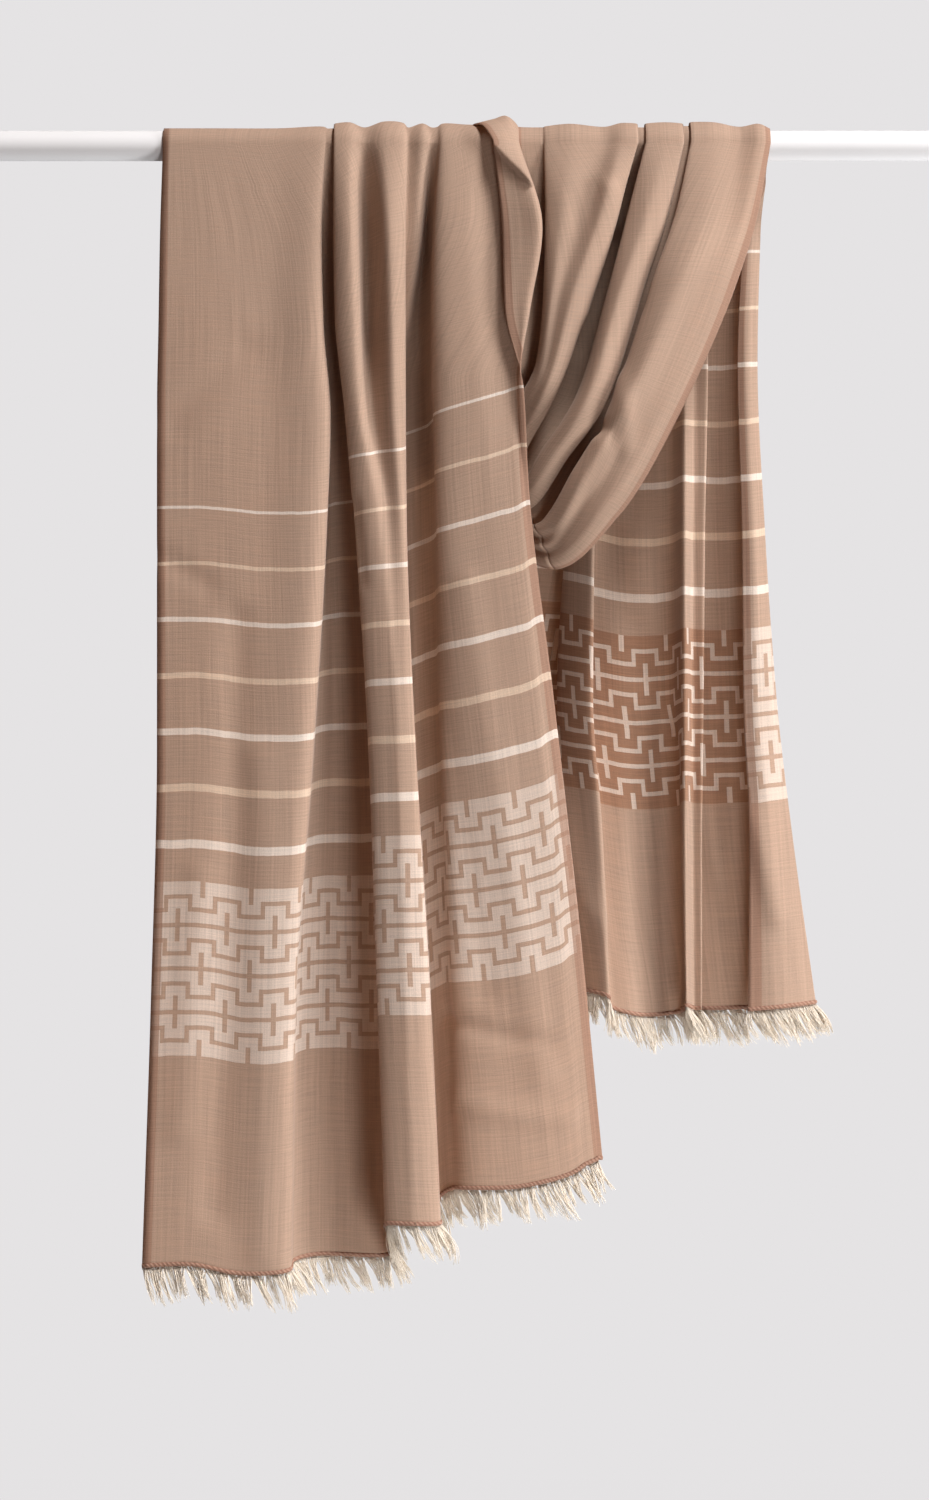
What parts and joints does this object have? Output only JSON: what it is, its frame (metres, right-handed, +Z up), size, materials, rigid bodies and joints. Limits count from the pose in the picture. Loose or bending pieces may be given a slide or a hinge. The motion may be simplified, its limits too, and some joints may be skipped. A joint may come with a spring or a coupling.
{
  "type": "merino shawl on a plain rail",
  "caption": "Long woven wool shawl draped over a plain round rail, with a looped swag, woven bands, stripes and fringed ends.",
  "frame": {"origin": "on the rail's axis at half its length, where the rail is held", "axes": "+X along the rail to the viewer's right, +Y away from the viewer, +Z up"},
  "size_m": [0.66, 0.0936, 0.7945],
  "materials": {
    "rail_paint": "smooth white satin paint",
    "wool_cloth": "fine soft worsted weave with a faint sheen",
    "wool_fringe": "loose soft cream warp ends"
  },
  "bodies": {
    "root": {"rail": "rail_paint", "front_fall": "wool_cloth", "swag": "wool_cloth", "loop_back": "wool_cloth", "back_fall": "wool_cloth", "fringe_front": "wool_fringe", "fringe_back": "wool_fringe"}
  },
  "joints": []
}
